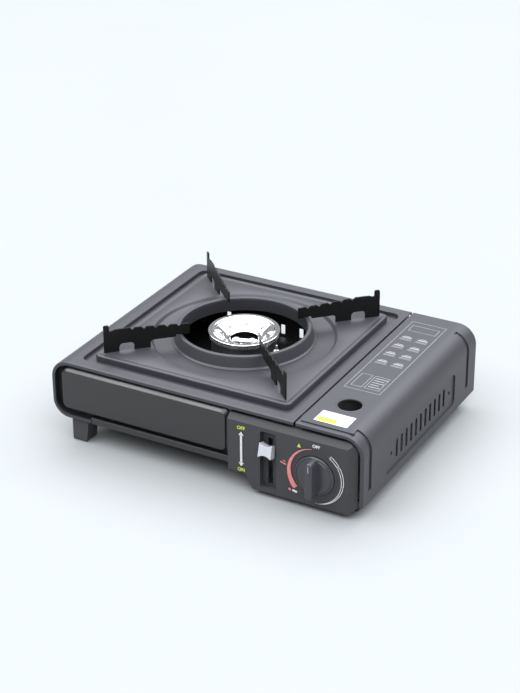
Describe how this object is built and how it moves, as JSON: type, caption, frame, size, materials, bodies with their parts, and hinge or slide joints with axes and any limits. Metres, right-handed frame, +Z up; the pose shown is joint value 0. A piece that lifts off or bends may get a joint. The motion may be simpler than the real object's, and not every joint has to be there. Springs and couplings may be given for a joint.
{
  "type": "butane cassette stove",
  "caption": "Portable tabletop gas stove: steel housing with burner, drip tray and pan supports on the left, hinged cartridge lid on the right, and a front panel with knob and locking lever.",
  "frame": {"origin": "on the table under the middle of the stove's outline, knob included", "axes": "+X to the right towards the cartridge lid, +Y to the back, +Z up; the controls face -Y"},
  "size_m": [0.34, 0.278, 0.119],
  "materials": {
    "black_enamel": "gloss enamel",
    "black_supports": "satin enamel",
    "charcoal_front": "satin paint",
    "base_paint": "satin paint",
    "galvanised_steel": "zinc plated",
    "bright_chrome": "polished",
    "burner_casting": "cast, heat darkened",
    "bright_steel": "bright",
    "panel_plastic": "satin moulding",
    "knob_plastic": "semi gloss",
    "lever_plastic": "silver grey",
    "foot_plastic": "matte",
    "inner_plastic": "matte",
    "ceramic": "glazed ceramic",
    "die_cast": "die cast",
    "brass": "machined",
    "rubber": "matte",
    "white_label": "smooth, blank"
  },
  "bodies": {
    "housing": {"body_shell": "black_enamel", "front_panel": "charcoal_front", "rear_panel": "black_enamel", "base_pan": "base_paint", "bay_wall": "galvanised_steel", "lid_hinge_pins": "bright_steel", "foot_front_left": "foot_plastic", "foot_rear_left": "foot_plastic", "foot_front_right": "foot_plastic", "foot_rear_right": "foot_plastic", "foot_screws": "bright_steel", "burner_cup": "burner_casting", "flame_ring": "bright_chrome", "burner_cap": "bright_chrome", "burner_bar": "bright_steel", "burner_screws": "bright_steel", "burner_stand": "galvanised_steel", "electrode_ceramic": "ceramic", "electrode_wire": "bright_steel", "electrode_clip": "galvanised_steel", "control_panel": "panel_plastic", "control_bracket": "galvanised_steel", "panel_screws": "bright_steel", "piezo_igniter": "inner_plastic", "lever_bracket": "galvanised_steel", "lever_pivot_pin": "bright_steel", "regulator_body": "die_cast", "regulator_diaphragm": "rubber", "regulator_cover": "die_cast", "gas_inlet": "brass", "inlet_seal": "rubber", "gas_jet": "brass", "mixing_tube": "galvanised_steel", "air_shutter": "galvanised_steel", "cartridge_cradle": "galvanised_steel"},
    "lid": {"cartridge_lid": "black_enamel", "lid_label": "white_label"},
    "knob": {"control_knob": "knob_plastic", "valve_stem": "bright_steel", "igniter_cam": "inner_plastic"},
    "plunger": {"igniter_plunger": "inner_plastic"},
    "lever": {"lock_lever": "galvanised_steel", "lever_cap": "lever_plastic"},
    "fork": {"clamp_fork": "galvanised_steel"},
    "tray": {"drip_tray": "black_enamel", "wind_collar": "black_enamel", "pan_support_front_left": "black_supports", "pan_support_front_right": "black_supports", "pan_support_rear_left": "black_supports", "pan_support_rear_right": "black_supports"}
  },
  "joints": [
    {"name": "lid_hinge", "type": "hinge", "parent": "housing", "child": "lid", "pos_m": [0.1005, 0.009, 0.0846], "axis": [0, -1, 0], "range_deg": [0, 90]},
    {"name": "knob_turn", "type": "hinge", "parent": "housing", "child": "knob", "pos_m": [0.1225, -0.121, 0.0389], "axis": [0, -1, 0], "range_deg": [0, 135]},
    {"name": "igniter_push", "type": "slide", "parent": "housing", "child": "plunger", "axis": [0, 0, 1], "range_m": [0, 0.004]},
    {"name": "lever_swing", "type": "hinge", "parent": "housing", "child": "lever", "pos_m": [0.0725, -0.07, 0.0359], "axis": [1, 0, 0], "range_deg": [0, 32]},
    {"name": "fork_slide", "type": "slide", "parent": "housing", "child": "fork", "axis": [0, -1, 0], "range_m": [0, 0.0077]},
    {"name": "tray_lift", "type": "slide", "parent": "housing", "child": "tray", "axis": [0, 0, 1], "range_m": [0, 0.05]}
  ],
  "couplings": [
    {"joint": "igniter_push", "follows": "knob_turn", "m_per_rad": 0.0016976},
    {"joint": "fork_slide", "follows": "lever_swing", "m_per_rad": 0.013786}
  ]
}
